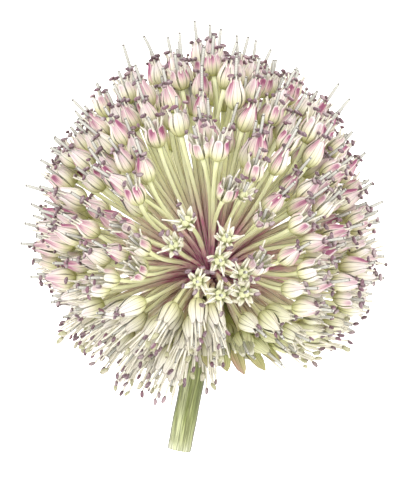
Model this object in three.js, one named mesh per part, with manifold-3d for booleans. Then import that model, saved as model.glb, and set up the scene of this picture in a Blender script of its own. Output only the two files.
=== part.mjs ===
// Allium flower head: a round umbel of stalked bell florets on a short cut stem, lying on its side.
// Millimetres, +Z up from the surface that it lies on, +Y from the stem's side to the top of the head.
// The origin is the middle of the footprint, on that surface.
import * as THREE from "three";
import { mergeVertices } from "three/addons/utils/BufferGeometryUtils.js";
import Module from "manifold-3d";

const wasm = await Module();
wasm.setup();

// Driving dimensions of the umbel
const HUB = new THREE.Vector3(1.09, -10.3, 35.5); // the middle of the receptacle, where the stalks meet
const CORE_RADIUS = 4.8; // of the twelve-sided receptacle, over its corners
const CORE_FACE = CORE_RADIUS * 0.795; // from its middle to its faces
const ROOT_RADIUS = 3.4; // where the stalks start inside it
const REACH_STEP = 30; // degrees from the head's top between two measures of its reach
const REACH_LEFT = [57, 52, 45, 40.2, 29.4, 28.2]; // from the hub to the petal tips, at each step
const REACH_RIGHT = [57, 51.3, 41.8, 39.2, 31, 17.6];
const SIDES_FROM = 0.4; // sideways part of the directions that have the reach of one side alone
const LAYER_DEPTH = 0.2; // share of the reach by which the innermost florets stand back
const RULED_FLORETS = 229; // directions of the even spiral, before the gaps are left out
const TOP_CROWDING = 1.3; // above 1, the florets stand closer at the head's top than round the stem
const LOWEST_DIRECTION = 152; // degrees from the head's top
const SCATTER = 8; // degrees by which a floret may leave its place in the spiral
const ARCH = 0.3; // how strongly a stalk first rises before it turns to its floret
const NOD = 0.28; // how strongly the nodding florets hang their heads
const NOD_ASIDE = 0.35; // share left of their upward facing
const TURNED_ASIDE = 0.6; // share left of the upward facing of the others, apart from the stars
const LIFTED = 0.6; // share left of the downward facing of the low florets on the right
const TILT_SCATTER = 0.3; // how far a floret's facing may stray
const STALK_RADIUS = [0.32, 0.52]; // at the root and under the floret
const FLOOR_BITE = 1.4; // petal tips on the surface are pressed flat by this much
const PRESSED_FROM = -0.87; // downward part of the directions whose florets all reach the surface

// The open window at the front, where bare stalks show. Its half width at the sides, below and above the hub.
const WINDOW_SIDE = 19;
const WINDOW_BELOW = 9;
const WINDOW_ABOVE = 33.5;
const STEM_CLEARANCE = 30; // degrees between the stem and the nearest floret

// Where each form grows, in degrees from the head's top
const NODDING_FROM = 105;
const BUDS_FROM = 112;
const RIGHT_SIDE_FROM = 0.12; // sideways part of the directions that have buds and no nodding florets
const BUDS_BELOW = 0.35; // upward part of the buds' directions
const CLOSED_SHARE = 0.66; // of the florets above the nodding ones. The others are open cups.

// Florets: radius and height of the widest ring and of the petal tips, and how far the style may stand out
const FORMS = {
  closed: { wide: 2.15, wideAt: 2.6, mouth: 0.8, tips: 6.4, style: [4, 7.5] },
  cup: { wide: 2.3, wideAt: 2.4, mouth: 2.2, tips: 5.4, style: [2.6, 4.6] },
  star: { wide: 2.2, wideAt: 1.8, mouth: 3.3, tips: 3.8, style: [2.0, 3.0] },
  nodding: { wide: 2.1, wideAt: 2.8, mouth: 1.6, tips: 6.6, style: [3.2, 5.2] },
  bud: { wide: 1.9, wideAt: 2.6, mouth: 0.2, tips: 6.2, style: [0, 0] },
};
const PETALS = 6;
const STYLE_RADIUS = 0.34;
const STYLE_ASIDE = 0.6; // share of a style's length at the head's sides and round the stem
const SLAB = 200; // what lies under the surface and cuts the pressed petals flat

// Florets in the window: where each one's mouth lies across and along from the hub, and its form
const FRONT_FLORETS = [
  [-6.2, 14.3, "star"],
  [-8.9, 8.9, "star"],
  [3.6, 10.5, "star"],
  [2.2, 4.9, "star"],
  [-3.2, 0.2, "star"],
  [7.6, 2.4, "star"],
  [11.4, 5.1, "cup"],
  [2.0, -2.8, "star"],
  [7.6, -2.2, "star"],
  [4.3, 22.1, "cup"],
  [7.7, 21.1, "star"],
  [10.2, 27.6, "cup"],
  [-3.1, 32.7, "cup"],
  [2.1, 32.7, "cup"],
  [12.2, 15.4, "cup"],
  [-17.4, 9.2, "cup"],
  [-17.9, 3.4, "cup"],
  [-3.0, -9.7, "nodding"],
  [1.9, -10.6, "nodding"],
  [-9.0, -22.5, "nodding"],
];

// Driving dimensions of the stem
const STEM_RADIUS = 2.88;
const STEM_TOP_RADIUS = 2.98;
const STEM_LENGTH = 41.6; // from the hub to the cut end
const STEM_SLANT = 10.6; // degrees between the stem and the head's own axis
const STEM_RIBS = 12;
const STEM_RIB_DEPTH = 0.14;
const STEM_RINGS = 6;
const STEM_FLARE = 3; // power of the widening under the receptacle
const JOINT_GAP = 0.3; // between the receptacle and the stem's top face

const UP = new THREE.Vector3(0, 1, 0);
const STEM_DIRECTION = new THREE.Vector3(
  -Math.sin(THREE.MathUtils.degToRad(STEM_SLANT)),
  -Math.cos(THREE.MathUtils.degToRad(STEM_SLANT)),
  0,
);

// The way that one face of an unturned dodecahedron looks. The receptacle turns it to the stem.
const DODECAHEDRON_FACE = new THREE.Vector3(0, -(1 + Math.sqrt(5)) / 2, 1).normalize();

// Even draws between 0 and 1, the same on every run
let drawn = 15;
function draw() {
  drawn = (drawn * 1664525 + 1013904223) % 4294967296;
  return drawn / 4294967296;
}

function degreesFromTop(direction) {
  return THREE.MathUtils.radToDeg(direction.angleTo(UP));
}

// From the hub to the petal tips in a direction
function reachAt(direction) {
  const place = Math.min(degreesFromTop(direction) / REACH_STEP, REACH_LEFT.length - 1.001);
  const step = Math.floor(place);
  const left = THREE.MathUtils.lerp(REACH_LEFT[step], REACH_LEFT[step + 1], place - step);
  const right = THREE.MathUtils.lerp(REACH_RIGHT[step], REACH_RIGHT[step + 1], place - step);
  return THREE.MathUtils.lerp(left, right, THREE.MathUtils.smoothstep(direction.x, -SIDES_FROM, SIDES_FROM));
}

// Whether a floret whose mouth lies at this offset from the hub would stand in the open window
function inWindow(offset) {
  if (offset.z <= 0) return false;
  const along = offset.y > 0 ? WINDOW_ABOVE : WINDOW_BELOW;
  return Math.hypot(offset.x / WINDOW_SIDE, offset.y / along) < 1;
}

// The form of a floret from where it grows: pale nodding ones round the stem, green buds low on the right
function formAt(direction, chance) {
  const theta = degreesFromTop(direction);
  const onRight = direction.x > RIGHT_SIDE_FROM;
  if (theta > BUDS_FROM && onRight && direction.z < BUDS_BELOW) return "bud";
  if (theta > NODDING_FROM && !onRight) return "nodding";
  return chance < CLOSED_SHARE ? "closed" : "cup";
}

// One floret: its form, its mouth's offset from the hub, the way it faces, its turn and its style's length
function makeFloret(form, direction, reach) {
  const shape = FORMS[form];
  const facing = direction.clone();
  if (form !== "star" && facing.z > 0) facing.z *= form === "nodding" ? NOD_ASIDE : TURNED_ASIDE;
  if (form === "nodding") facing.y -= NOD;
  if (facing.x > RIGHT_SIDE_FROM && facing.y < 0) facing.y *= LIFTED;
  facing.x += (draw() - 0.5) * TILT_SCATTER;
  facing.y += (draw() - 0.5) * TILT_SCATTER;
  facing.z += (draw() - 0.5) * TILT_SCATTER;
  facing.normalize();
  const turn = draw() * Math.PI;
  const styleShare = THREE.MathUtils.lerp(STYLE_ASIDE, 1, Math.max(0, direction.y));
  const style = THREE.MathUtils.lerp(shape.style[0], shape.style[1], draw()) * styleShare;
  const mouth = HUB.clone().addScaledVector(direction, reach);
  const base = mouth.clone().addScaledVector(facing, -shape.tips);
  const floret = { form, shape, direction, facing, turn, style, base };
  layOnSurface(floret);
  return floret;
}

// Lifts a floret that would sink too far in the surface. Buds are shut, and so is one whose style meets it.
function layOnSurface(floret) {
  const { shape, facing, base } = floret;
  const lean = Math.sqrt(1 - facing.z * facing.z);
  const wideLow = base.z + facing.z * shape.wideAt - shape.wide * lean;
  const tipsLow = base.z + facing.z * shape.tips - shape.mouth * lean;
  base.z += Math.max(0, -FLOOR_BITE - Math.min(wideLow, tipsLow));
  floret.shut = floret.form === "bud" || base.z + facing.z * (shape.tips + floret.style) < STYLE_RADIUS;
}

// Every floret of the umbel: those of the even spiral that stand outside the gaps, then those in the window
function arrangeFlorets() {
  const florets = [];
  const goldenAngle = Math.PI * (3 - Math.sqrt(5));
  const lowest = Math.cos(THREE.MathUtils.degToRad(LOWEST_DIRECTION));
  for (let i = 0; i < RULED_FLORETS; i++) {
    const scatter = THREE.MathUtils.degToRad(SCATTER);
    const share = ((i + 0.5) / RULED_FLORETS) ** TOP_CROWDING;
    const theta = Math.acos(1 - share * (1 - lowest)) + (draw() - 0.5) * scatter;
    const phi = i * goldenAngle + ((draw() - 0.5) * scatter) / Math.sin(theta);
    const layer = draw();
    const chance = draw();
    const direction = new THREE.Vector3(
      Math.sin(theta) * Math.cos(phi),
      Math.cos(theta),
      Math.sin(theta) * Math.sin(phi),
    );
    const depth = direction.z < PRESSED_FROM ? 0 : LAYER_DEPTH * layer * layer;
    const reach = reachAt(direction) * (1 - depth);
    const nearStem = THREE.MathUtils.radToDeg(direction.angleTo(STEM_DIRECTION)) < STEM_CLEARANCE;
    if (nearStem || inWindow(direction.clone().multiplyScalar(reach))) continue;
    florets.push(makeFloret(formAt(direction, chance), direction, reach));
  }
  for (const [across, along, form] of FRONT_FLORETS) {
    const direction = new THREE.Vector3(0, 0, 1);
    let reach = reachAt(direction);
    for (let pass = 0; pass < 4; pass++) {
      direction.set(across, along, Math.sqrt(reach * reach - across * across - along * along)).normalize();
      reach = reachAt(direction);
    }
    florets.push(makeFloret(form, direction, reach));
  }
  return florets;
}

// A closed solid from its points and the triangles between them
function solidFrom(points, triangles) {
  return new wasm.Manifold(
    new wasm.Mesh({
      numProp: 3,
      vertProperties: Float32Array.from(points.flatMap((p) => [p.x, p.y, p.z])),
      triVerts: Uint32Array.from(triangles.flat()),
    }),
  );
}

// A floret on its three-sided stalk: a six-sided bell, shut in a point or with six petals round its style
function floretSolid(floret) {
  const { shape, facing, base, shut } = floret;
  const side = new THREE.Vector3().crossVectors(facing, UP).normalize().applyAxisAngle(facing, floret.turn);
  const other = new THREE.Vector3().crossVectors(facing, side);
  const points = [];
  const ring = (centre, radius, count, offset = 0) => {
    const first = points.length;
    for (let k = 0; k < count; k++) {
      const angle = ((k + offset) / count) * 2 * Math.PI;
      const point = centre.clone().addScaledVector(side, radius * Math.cos(angle));
      points.push(point.addScaledVector(other, radius * Math.sin(angle)));
    }
    return first;
  };
  const at = (height) => base.clone().addScaledVector(facing, height);

  const rise = floret.direction.clone().addScaledVector(UP, ARCH).normalize();
  const foot = ring(HUB.clone().addScaledVector(rise, ROOT_RADIUS), STALK_RADIUS[0], 3);
  const neck = ring(base, STALK_RADIUS[1], 3);
  const wide = ring(at(shape.wideAt), shape.wide, PETALS);
  const tips = shut ? 0 : ring(at(shape.tips), shape.mouth, PETALS, 0.5);
  const throat = shut ? 0 : ring(at(shape.wideAt), STYLE_RADIUS, 3);
  const end = points.push(at(shape.tips + (shut ? 0 : floret.style))) - 1;

  const triangles = [[foot, foot + 2, foot + 1]];
  for (let k = 0; k < 3; k++) {
    const next = (k + 1) % 3;
    const w = [0, 1, 2, PETALS - 1].map((step) => wide + ((2 * k + step) % PETALS));
    const t = [0, PETALS - 1].map((step) => tips + ((2 * k + step) % PETALS));
    triangles.push(
      [foot + k, foot + next, neck + next],
      [foot + k, neck + next, neck + k],
      [neck + k, w[1], w[0]],
      [neck + k, neck + next, w[1]],
      [neck + next, w[2], w[1]],
    );
    if (shut) continue;
    triangles.push(
      [throat + k, t[1], w[0]],
      [throat + k, w[0], t[0]],
      [throat + k, t[0], w[1]],
      [throat + k, w[3], t[1]],
      [throat + k, w[1], throat + next],
      [throat + k, throat + next, end],
    );
  }
  for (let k = 0; k < PETALS; k++) {
    triangles.push([wide + k, wide + ((k + 1) % PETALS), shut ? end : tips + k]);
  }
  return solidFrom(points, triangles);
}

// A closed three.js geometry as a solid
function solidOf(geometry) {
  const bare = geometry.clone();
  bare.deleteAttribute("normal");
  bare.deleteAttribute("uv");
  const merged = mergeVertices(bare, 1e-4);
  return new wasm.Manifold(
    new wasm.Mesh({
      numProp: 3,
      vertProperties: merged.attributes.position.array,
      triVerts: new Uint32Array(merged.index.array),
    }),
  );
}

// A solid as a three.js geometry with flat faces
function geometryOf(solid) {
  const mesh = solid.getMesh();
  const indexed = new THREE.BufferGeometry();
  indexed.setAttribute("position", new THREE.BufferAttribute(mesh.vertProperties, 3));
  indexed.setIndex(new THREE.BufferAttribute(mesh.triVerts, 1));
  const flat = indexed.toNonIndexed();
  flat.computeVertexNormals();
  return flat;
}

// The receptacle with every stalk and floret fused to it, pressed flat where it lies on the surface
function flowerHead() {
  const core = new THREE.DodecahedronGeometry(CORE_RADIUS);
  core.applyQuaternion(new THREE.Quaternion().setFromUnitVectors(DODECAHEDRON_FACE, STEM_DIRECTION));
  core.translate(HUB.x, HUB.y, HUB.z);
  const grown = wasm.Manifold.union([solidOf(core), ...arrangeFlorets().map(floretSolid)]);
  const slab = new THREE.BoxGeometry(SLAB, SLAB, SLAB).translate(0, 0, -SLAB / 2);
  const material = new THREE.MeshStandardMaterial({ color: 0xcdc27f, roughness: 0.6, metalness: 0 });
  const mesh = new THREE.Mesh(geometryOf(grown.subtract(solidOf(slab))), material);
  mesh.name = "flower_head";
  return mesh;
}

// The cut stem: round with shallow ribs, a little wider under the receptacle, and cut square
function stem() {
  const top = CORE_FACE + JOINT_GAP;
  const around = STEM_RIBS * 2;
  const geometry = new THREE.CylinderGeometry(1, 1, STEM_LENGTH - top, around, STEM_RINGS);
  const position = geometry.attributes.position;
  for (let i = 0; i < position.count; i++) {
    const x = position.getX(i);
    const z = position.getZ(i);
    if (Math.hypot(x, z) < 0.5) continue; // the middles of the end faces
    const share = position.getY(i) / (STEM_LENGTH - top) + 0.5;
    const radius = THREE.MathUtils.lerp(STEM_RADIUS, STEM_TOP_RADIUS, share ** STEM_FLARE);
    const angle = Math.atan2(z, x);
    const rib = 1 - (STEM_RIB_DEPTH / radius) * (0.5 - 0.5 * Math.cos(angle * STEM_RIBS));
    position.setX(i, x * radius * rib);
    position.setZ(i, z * radius * rib);
  }
  const material = new THREE.MeshStandardMaterial({ color: 0x9c9f68, roughness: 0.55, metalness: 0 });
  const mesh = new THREE.Mesh(geometry, material);
  mesh.name = "stem";
  mesh.position.copy(HUB).addScaledVector(STEM_DIRECTION, (STEM_LENGTH + top) / 2);
  mesh.quaternion.setFromUnitVectors(UP, STEM_DIRECTION.clone().negate());
  return mesh;
}

const allium = new THREE.Group();
allium.add(flowerHead(), stem());
export default allium;
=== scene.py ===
# The allium flower head as it looks: every floret with its petals, stamens and style on a curved stalk.
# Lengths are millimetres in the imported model's own frame, and make_piece turns them into metres.
# The head's axis lies along +Y, and the drawing shows it from straight above.
from math import acos, atan2, ceil, cos, degrees, hypot, pi, radians, sin, sqrt

import bpy
import numpy as np
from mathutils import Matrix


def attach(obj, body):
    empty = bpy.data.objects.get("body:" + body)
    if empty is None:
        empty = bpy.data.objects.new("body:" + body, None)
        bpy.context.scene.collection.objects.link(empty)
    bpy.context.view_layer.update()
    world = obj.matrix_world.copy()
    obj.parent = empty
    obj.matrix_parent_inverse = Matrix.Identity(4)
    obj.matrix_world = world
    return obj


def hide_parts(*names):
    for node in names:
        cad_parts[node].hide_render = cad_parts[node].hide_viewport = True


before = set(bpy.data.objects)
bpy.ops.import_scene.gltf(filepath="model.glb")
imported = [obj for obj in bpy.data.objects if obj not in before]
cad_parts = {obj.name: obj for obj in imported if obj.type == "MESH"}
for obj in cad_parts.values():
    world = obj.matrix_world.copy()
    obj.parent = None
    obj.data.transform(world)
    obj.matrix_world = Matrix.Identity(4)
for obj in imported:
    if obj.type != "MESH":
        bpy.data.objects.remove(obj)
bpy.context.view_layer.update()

MM = 0.001
FULL_TURN = 2 * pi
UP = np.array([0.0, 1.0, 0.0])
SKY = np.array([0.0, 0.0, 1.0])

# The umbel's driving dimensions, as the solids have them. A direction is a unit vector from HUB. The reach,
# from HUB to the petal tips, is given every REACH_STEP degrees from the top, for the left and for the right.
HUB = np.array([1.09, -10.3, 35.5])
ROOT_RADIUS = 3.4
REACH_STEP = 30
REACH_LEFT = [57, 52, 45, 40.2, 29.4, 28.2]
REACH_RIGHT = [57, 51.3, 41.8, 39.2, 31, 17.6]
SIDES_FROM = 0.4
REACH_ROUNDS = 4
LAYER_DEPTH = 0.2
RULED_FLORETS = 229
TOP_CROWDING = 1.3
LOWEST_DIRECTION = 152
LOWEST_HEIGHT = cos(radians(LOWEST_DIRECTION))
SCATTER = 8
ARCH = 0.3
NOD = 0.28
NOD_ASIDE = 0.35
TURNED_ASIDE = 0.6
LIFTED = 0.6
TILT_SCATTER = 0.3
FLOOR_BITE = 1.4
PRESSED_FROM = -0.87
WINDOW_SIDE = 19
WINDOW_BELOW = 9
WINDOW_ABOVE = 33.5
STEM_CLEARANCE = 30
NODDING_FROM = 105
BUDS_FROM = 112
RIGHT_SIDE_FROM = 0.12
BUDS_BELOW = 0.35
CLOSED_SHARE = 0.66
SOLID_STYLE_RADIUS = 0.34
STYLE_ASIDE = 0.6
FIRST_DRAW = 15
FORMS = {
    "closed": dict(wide=2.15, wide_at=2.6, mouth=0.8, tips=6.4, style=(4.0, 7.5)),
    "cup": dict(wide=2.3, wide_at=2.4, mouth=2.2, tips=5.4, style=(2.6, 4.6)),
    "star": dict(wide=2.2, wide_at=1.8, mouth=3.3, tips=3.8, style=(2.0, 3.0)),
    "nodding": dict(wide=2.1, wide_at=2.8, mouth=1.6, tips=6.6, style=(3.2, 5.2)),
    "bud": dict(wide=1.9, wide_at=2.6, mouth=0.2, tips=6.2, style=(0.0, 0.0)),
}

# The florets in the open window: their places across and along the head from the hub, and their forms
FRONT_FLORETS = [
    (-6.2, 14.3, "star"), (-8.9, 8.9, "star"), (3.6, 10.5, "star"), (2.2, 4.9, "star"),
    (-3.2, 0.2, "star"), (7.6, 2.4, "star"), (11.4, 5.1, "cup"), (2.0, -2.8, "star"),
    (7.6, -2.2, "star"), (4.3, 22.1, "cup"), (7.7, 21.1, "star"), (10.2, 27.6, "cup"),
    (-3.1, 32.7, "cup"), (2.1, 32.7, "cup"), (12.2, 15.4, "cup"), (-17.4, 9.2, "cup"),
    (-17.9, 3.4, "cup"), (-3.0, -9.7, "nodding"), (1.9, -10.6, "nodding"), (-9.0, -22.5, "nodding"),
]
STEM_RADIUS = 2.88
STEM_TOP_RADIUS = 2.98
STEM_LENGTH = 41.6
STEM_SLANT = 10.6
STEM_START = 4.1
STEM_DIRECTION = np.array([-sin(radians(STEM_SLANT)), -cos(radians(STEM_SLANT)), 0.0])

# Florets between the solid ones, so that the head is as full as the real one
FILLER_TRIES = 2600
FILLER_DISTANCE = 5.1
SPARSER_BEHIND = 0.9
FILLER_DEPTH = 0.14
FLORET_SIZES = (0.94, 1.12)


def unit(vector):
    return vector / np.linalg.norm(vector, axis=-1, keepdims=True)


def turned(vector, axis, angle):
    """vector turned about a unit axis, by the right-hand rule"""
    along = axis * np.dot(axis, vector)
    return along + (vector - along) * cos(angle) + np.cross(axis, vector) * sin(angle)


def mixed(first, second, share):
    return first + (second - first) * share


def smoothstep(value, low, high):
    """From 0 at low to 1 at high, flat at both ends"""
    share = np.clip((value - low) / (high - low), 0, 1)
    return share * share * (3 - 2 * share)


def angles_round(count, first=0.0):
    """Angles spread evenly over a full turn, the first of them a share of a step past zero"""
    return (np.arange(count) + first) * FULL_TURN / count


def even_draws(last):
    """Even draws between 0 and 1, in the order in which the solids have them"""
    multiplier, increment, modulus = 1664525, 1013904223, 2**32
    while True:
        last = (last * multiplier + increment) % modulus
        yield last / modulus


draw = even_draws(FIRST_DRAW).__next__
chance = np.random.default_rng(seed=5)


def degrees_from_top(direction):
    return degrees(acos(np.clip(np.dot(direction, UP), -1, 1)))


def reach_at(direction):
    """The distance from the hub to the petal tips, blended from the left side's table to the right's"""
    last_place = len(REACH_LEFT) - 1.001  # so that there is always a next value
    place = min(degrees_from_top(direction) / REACH_STEP, last_place)
    step = int(place)
    left, right = (mixed(reach[step], reach[step + 1], place - step) for reach in (REACH_LEFT, REACH_RIGHT))
    return mixed(left, right, smoothstep(direction[0], -SIDES_FROM, SIDES_FROM))


def in_window(offset):
    """Whether a place, given from the hub, is in the open window, where only FRONT_FLORETS stand"""
    if offset[2] <= 0:
        return False
    along = WINDOW_ABOVE if offset[1] > 0 else WINDOW_BELOW
    return hypot(offset[0] / WINDOW_SIDE, offset[1] / along) < 1


def near_stem(direction):
    return np.dot(direction, STEM_DIRECTION) > cos(radians(STEM_CLEARANCE))


def form_at(direction, luck):
    """Green buds low on the right, nodding florets low on the left, and closed ones and cups elsewhere"""
    theta = degrees_from_top(direction)
    on_right = direction[0] > RIGHT_SIDE_FROM
    if theta > BUDS_FROM and on_right and direction[2] < BUDS_BELOW:
        return "bud"
    if theta > NODDING_FROM and not on_right:
        return "nodding"
    return "closed" if luck < CLOSED_SHARE else "cup"


def make_floret(form, direction, reach, luck=draw):
    """One floret, placed as the solids have it, with a size of its own"""
    shape = FORMS[form]
    facing = np.array(direction)
    if form != "star" and facing[2] > 0:
        facing[2] *= NOD_ASIDE if form == "nodding" else TURNED_ASIDE
    if form == "nodding":
        facing[1] -= NOD
    if facing[0] > RIGHT_SIDE_FROM and facing[1] < 0:
        facing[1] *= LIFTED
    facing = unit(facing + (np.array([luck(), luck(), luck()]) - 0.5) * TILT_SCATTER)
    turn = luck() * pi
    style = mixed(*shape["style"], luck()) * mixed(STYLE_ASIDE, 1, max(0, direction[1]))
    base = HUB + direction * reach - facing * shape["tips"]
    lean = sqrt(1 - facing[2] ** 2)
    wide_low = base[2] + facing[2] * shape["wide_at"] - shape["wide"] * lean
    tips_low = base[2] + facing[2] * shape["tips"] - shape["mouth"] * lean
    base[2] += max(0.0, -FLOOR_BITE - min(wide_low, tips_low))
    shut = base[2] + facing[2] * (shape["tips"] + style) < SOLID_STYLE_RADIUS
    side = turned(unit(np.cross(facing, UP)), facing, turn)
    return dict(
        form=form,
        direction=np.array(direction),
        facing=facing,
        axes=np.array([side, np.cross(facing, side), facing]),
        style=style,
        base=base,
        mouth=base + facing * shape["tips"],
        shut=shut,
        size=chance.uniform(*FLORET_SIZES),
        luck=chance.uniform(),
    )


def direction_at(phi, height, level):
    """The direction turned by phi round the head's axis, with its parts along that axis and across it"""
    return np.array([level * cos(phi), height, level * sin(phi)])


def arrange_florets():
    """Every floret of the solids: those of the even spiral, then those in the open window at the front"""
    florets = []
    golden_angle = pi * (3 - sqrt(5))
    scatter = radians(SCATTER)
    for i in range(RULED_FLORETS):
        share = ((i + 0.5) / RULED_FLORETS) ** TOP_CROWDING
        theta = acos(1 - share * (1 - LOWEST_HEIGHT)) + (draw() - 0.5) * scatter
        phi = i * golden_angle + (draw() - 0.5) * scatter / sin(theta)
        layer = draw()
        luck = draw()
        direction = direction_at(phi, cos(theta), sin(theta))
        depth = 0 if direction[2] < PRESSED_FROM else LAYER_DEPTH * layer * layer
        reach = reach_at(direction) * (1 - depth)
        if near_stem(direction) or in_window(direction * reach):
            continue
        florets.append(make_floret(form_at(direction, luck), direction, reach))
    for across, along, form in FRONT_FLORETS:
        reach = reach_at(SKY)
        for _ in range(REACH_ROUNDS):
            direction = unit(np.array([across, along, sqrt(reach**2 - across**2 - along**2)]))
            reach = reach_at(direction)
        florets.append(make_floret(form, direction, reach))
    return florets


def fill_gaps(florets):
    """More florets where there is room between the mouths of the others"""
    mouths = [f["mouth"] for f in florets]
    added = []
    for _ in range(FILLER_TRIES):
        height = chance.uniform(LOWEST_HEIGHT, 1)
        phi = chance.uniform(0, FULL_TURN)
        direction = direction_at(phi, height, sqrt(1 - height**2))
        depth = FILLER_DEPTH * chance.uniform() ** 2
        reach = reach_at(direction) * (1 - depth)
        place = HUB + direction * reach
        if direction[2] < PRESSED_FROM or near_stem(direction) or in_window(direction * reach):
            continue
        distance = FILLER_DISTANCE * (1 + SPARSER_BEHIND * max(0, -direction[2]))
        if min(np.linalg.norm(m - place) for m in mouths) < distance:
            continue
        floret = make_floret(form_at(direction, chance.uniform()), direction, reach, chance.uniform)
        mouths.append(place)
        added.append(floret)
    return added


# How the looks change over the head. "Bare" florets, beside the stem, show no stamens yet.
BARE_SIDE = (-0.02, 0.55)
BARE_BELOW = -0.42
PINKNESS = (0.3, 1.15)
FLUSH_OF_FORM = {"star": 0.12, "nodding": 0.25, "bud": 0.3}
RAW_SHARE = {"star": 0.1, "nodding": 0.3, "bud": 0.45}
GREEN_OF_FORM = {"star": 0.1, "nodding": 0.15, "bud": 0.85}
GREEN_SCATTER = 0.12


def colour_florets(florets):
    """How pink and green each floret is, how much painted shade dulls it, and which stamens it shows,
    from its form and its place
    """
    for f in florets:
        x, y = f["direction"][:2]
        form = f["form"]
        low = smoothstep(-y, 0.1, 0.5)
        pink = smoothstep(y, -0.45, 0.4) * chance.uniform(*PINKNESS)
        low_right = smoothstep(x, 0.0, 0.4) * smoothstep(-y, 0.05, 0.4)
        f["bare"] = BARE_SIDE[0] < x < BARE_SIDE[1] and y < BARE_BELOW and form != "nodding"
        f["kept"] = 0.5 + 0.3 * smoothstep(y, 0.2, 0.8)
        f["hang"] = 1.0 if form in ("nodding", "bud") else smoothstep(-y, 0.0, 0.5)
        f["raw"] = RAW_SHARE.get(form, 0.3 * low)
        f["flush"] = FLUSH_OF_FORM.get(form, 1.0) * pink
        # Painted shade: nodding and bare florets fully, and those low on the head by half
        f["drab"] = 1.0 if form == "nodding" or f["bare"] else 0.5 * low
        green = max(GREEN_OF_FORM.get("bud" if f["bare"] else form, 0.05), 0.7 * low_right)
        f["green"] = float(np.clip(green + chance.normal(0, GREEN_SCATTER), 0, 1))


def spline(points, count):
    """Points spread evenly along a smooth curve through the given ones"""
    given = np.asarray(points, float)
    padded = np.vstack([2 * given[0] - given[1], given, 2 * given[-1] - given[-2]])
    place = np.linspace(0, len(given) - 1, count)
    step = np.minimum(place.astype(int), len(given) - 2)
    f = (place - step)[:, None]
    a, b, c, d = (padded[step + k] for k in range(4))
    return 0.5 * (2 * b + (c - a) * f + (2 * a - 5 * b + 4 * c - d) * f**2 + (3 * b - a - 3 * c + d) * f**3)


def curve_between(start, start_pull, end, end_pull, steps):
    """Cubic Bezier curves of shape (curves, steps, 3)"""
    t = np.linspace(0, 1, steps)[:, None]
    a, b, c, d = (np.asarray(p)[:, None] for p in (start, start_pull, end_pull, end))
    return (1 - t) ** 3 * a + 3 * (1 - t) ** 2 * t * b + 3 * (1 - t) * t**2 * c + t**3 * d


def on_floret(floret, local):
    """Places given along the floret's own axes, in the model's frame"""
    return floret["base"] + local @ floret["axes"]


PRESS_SOFTNESS = 0.5


def pressed(points):
    """Points with what would sink in the surface pressed flat on it"""
    points = np.array(points)
    z = points[..., 2]
    points[..., 2] = 0.5 * (z + np.sqrt(z * z + PRESS_SOFTNESS**2))
    return points


class Chunk:
    """Part of a piece: points, faces with their places in the baked image's cells, and shader values"""

    def __init__(self, points, faces, cells, **values):
        self.points = points.reshape(-1, 3)
        self.faces = faces
        self.cells = cells
        self.values = {k: np.broadcast_to(v, points.shape[:-1]).reshape(-1) for k, v in values.items()}


def repeated(faces, chart, times, stride):
    """The same faces for several copies of a shape, each with its own points and its own cell"""
    copies = np.arange(times)
    all_faces = (faces[None] + copies[:, None, None] * stride).reshape(-1, faces.shape[1])
    all_charts = np.tile(chart[None], (times, 1, 1, 1))
    all_charts[..., 0] += copies[:, None, None]
    return all_faces, all_charts.reshape(-1, *chart.shape[1:])


def grid_faces(rows, columns, sheets=1, closed=False, low=0.0, high=1.0):
    """Quads of sheets that lie one after the other, rows by columns each, with (cell, u, v) at each corner"""
    width = columns if closed else columns - 1
    i, j = np.meshgrid(np.arange(rows - 1), np.arange(width), indexing="ij")
    after = (j + 1) % columns
    row, next_row = i * columns, (i + 1) * columns
    quads = np.stack([row + j, row + after, next_row + after, next_row + j], -1)
    u = np.stack([j, j + 1, j + 1, j], -1) / width
    v = low + (high - low) * np.stack([i, i, i + 1, i + 1], -1) / (rows - 1)
    chart = np.stack([np.zeros_like(u), u, v], -1)
    return repeated(quads.reshape(-1, 4), chart.reshape(-1, 4, 3), sheets, rows * columns)


def fan(tip, ring, flipped, v_tip, v_ring):
    """Triangles from one point to a ring of points, with (cell, u, v) at each corner"""
    count = len(ring)
    j = np.arange(count)
    pair = np.stack([j + 1, j] if flipped else [j, j + 1], -1)
    faces = np.column_stack([np.full(count, tip), ring[pair % count]])
    u = np.column_stack([j + 0.5, pair]) / count
    v = np.broadcast_to([v_tip, v_ring, v_ring], u.shape)
    return faces, np.stack([np.zeros_like(u), u, v], -1)


CAP = 0.05  # the share of a cell's height that each end of a body takes


def closed_body(rows, columns):
    """Faces of rings of points followed by one point for each end"""
    first, last = rows * columns, rows * columns + 1
    return [
        grid_faces(rows, columns, closed=True, low=CAP, high=1 - CAP),
        fan(first, np.arange(columns), True, 0, CAP),
        fan(last, np.arange(columns) + (rows - 1) * columns, False, 1, 1 - CAP),
    ]


def thin_sheets(rows, columns, count):
    """Faces of thin closed sheets, each given as its two sides, the second of them turned over"""
    faces, chart = grid_faces(rows, columns, count * 2)
    second = np.repeat(np.tile([False, True], count), len(faces) // (count * 2))
    faces[second] = faces[second][:, ::-1]
    chart[second] = chart[second][:, ::-1]
    return [(faces, chart)]


def ellipsoid(sides, rings):
    """Points of a round body of radius 1, with one point at each end of its first axis"""
    slant = np.linspace(0, pi, rings + 2)[1:-1]
    angle = angles_round(sides)
    ring = np.stack([
        np.broadcast_to(-np.cos(slant)[:, None], (rings, sides)),
        np.sin(slant)[:, None] * np.cos(angle),
        np.sin(slant)[:, None] * np.sin(angle),
    ], -1).reshape(-1, 3)
    return np.concatenate([ring, [[-1.0, 0, 0], [1.0, 0, 0]]])


NEARLY_UPRIGHT = 0.95


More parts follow.
